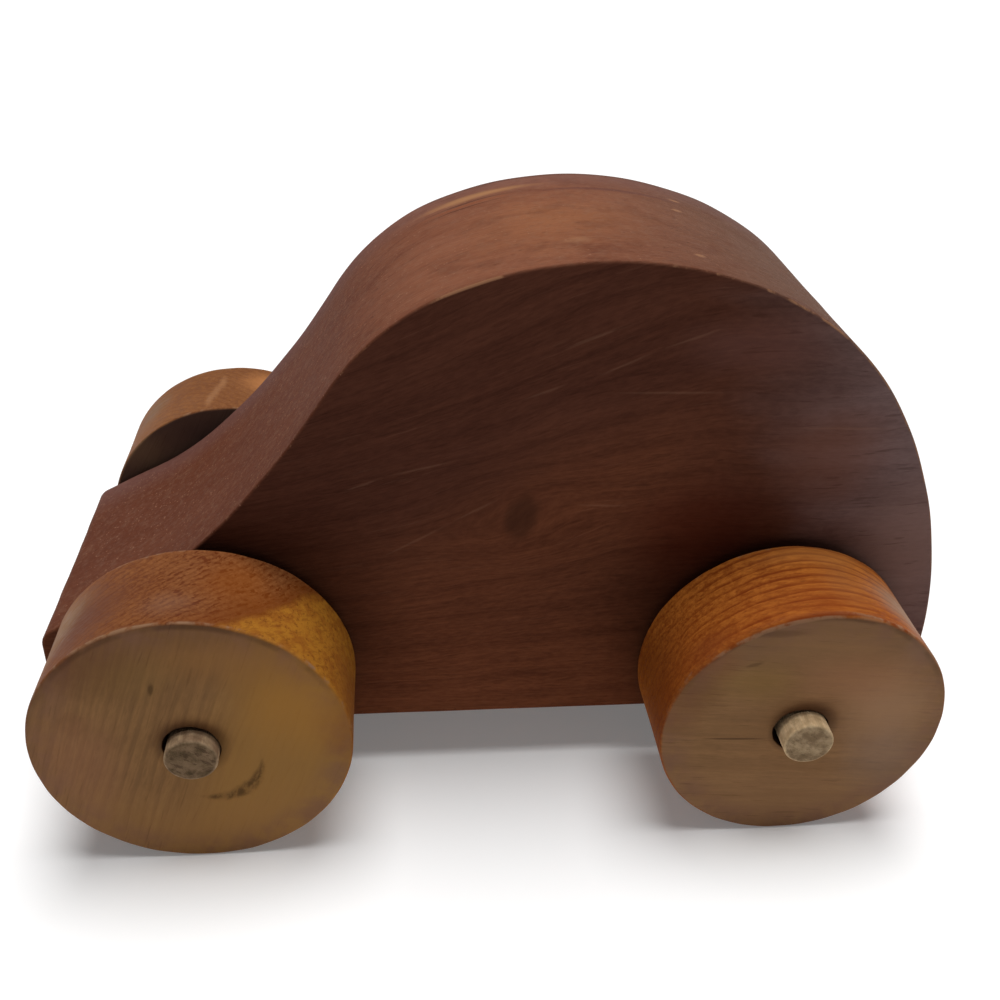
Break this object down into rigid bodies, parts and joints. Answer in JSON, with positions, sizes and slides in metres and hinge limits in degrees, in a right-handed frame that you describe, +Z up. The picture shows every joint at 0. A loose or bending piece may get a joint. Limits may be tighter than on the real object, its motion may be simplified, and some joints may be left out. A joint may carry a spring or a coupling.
{
  "type": "wooden toy car",
  "caption": "Push-along toy car with a sawn round-backed wooden body, disc wheels glued on dowels, and dowel axles that turn in bores through the body.",
  "frame": {"origin": "centre of the car's footprint on the ground, at half its length and half its width", "axes": "+X towards the tail, the nose points to -X, +Y towards the car's right side, +Z up; the wheels stand on Z = 0"},
  "size_m": [0.1784, 0.1062, 0.1113],
  "materials": {
    "stained_block": "softwood with a dark reddish-brown stain, worn satin",
    "front_wheel_wood": "golden-brown softwood, worn satin varnish",
    "rear_wheel_wood": "orange-brown softwood with dark growth lines, worn satin varnish",
    "dowel_wood": "bare grey-tan hardwood, matte end grain"
  },
  "bodies": {
    "block": {"body": "stained_block"},
    "front_wheel_set": {"front_axle": "dowel_wood", "front_left_wheel": "front_wheel_wood", "front_right_wheel": "front_wheel_wood"},
    "rear_wheel_set": {"rear_axle": "dowel_wood", "rear_left_wheel": "rear_wheel_wood", "rear_right_wheel": "rear_wheel_wood"}
  },
  "joints": [
    {"name": "front_axle_spin", "type": "hinge", "parent": "block", "child": "front_wheel_set", "pos_m": [-0.05798, 0, 0.0286], "axis": [0, 1, 0], "continuous": true},
    {"name": "rear_axle_spin", "type": "hinge", "parent": "block", "child": "rear_wheel_set", "pos_m": [0.05532, 0, 0.0276], "axis": [0, 1, 0], "continuous": true}
  ]
}
